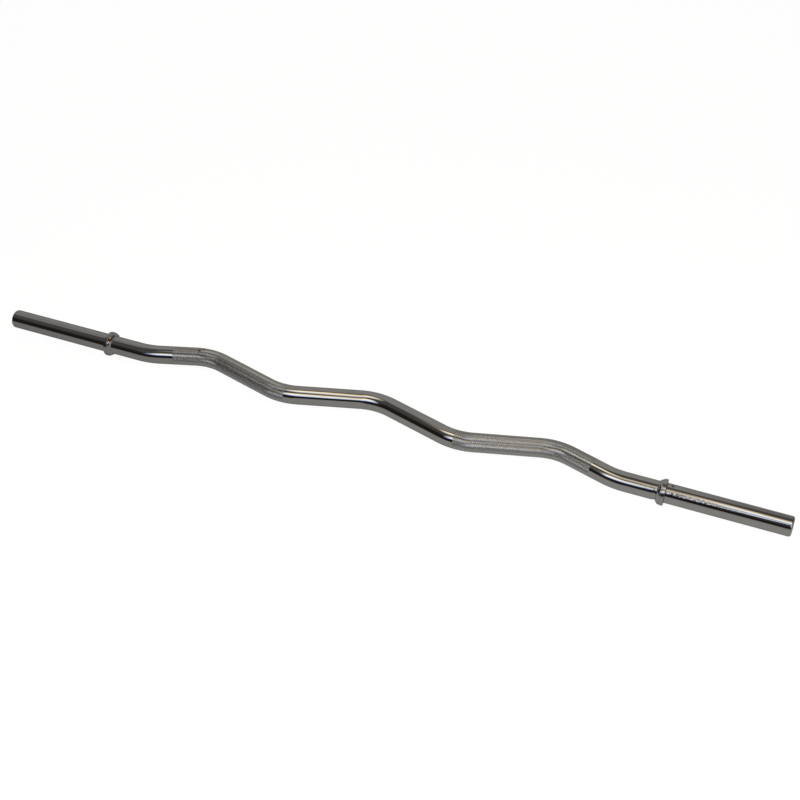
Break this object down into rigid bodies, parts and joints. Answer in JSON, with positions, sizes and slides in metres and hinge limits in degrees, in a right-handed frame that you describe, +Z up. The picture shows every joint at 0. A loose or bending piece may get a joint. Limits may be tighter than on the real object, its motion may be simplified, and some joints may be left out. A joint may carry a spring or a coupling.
{
  "type": "ez curl bar",
  "caption": "Zigzag-bent solid chromed steel curl bar with knurled grip zones, plain straight plate sleeves with rounded ends, and a welded stop ring inboard of each sleeve.",
  "frame": {"origin": "on the floor, under the middle of the bar's footprint, with the bar lying on its two rings and its centre bend", "axes": "+X along the sleeve axis, +Y across the bar towards the side of its bend peaks, +Z up"},
  "size_m": [1.2, 0.0611, 0.037],
  "materials": {
    "rod_chrome": "bright chrome plate on steel, knurled grips, scuffed sleeves",
    "collar_chrome": "bright chrome plate on a turned steel ring",
    "weld_chrome": "chrome plate over a rippled weld bead"
  },
  "bodies": {
    "root": {"bent_bar": "rod_chrome", "left_collar": "collar_chrome", "right_collar": "collar_chrome", "left_collar_weld": "weld_chrome", "right_collar_weld": "weld_chrome"}
  },
  "joints": []
}
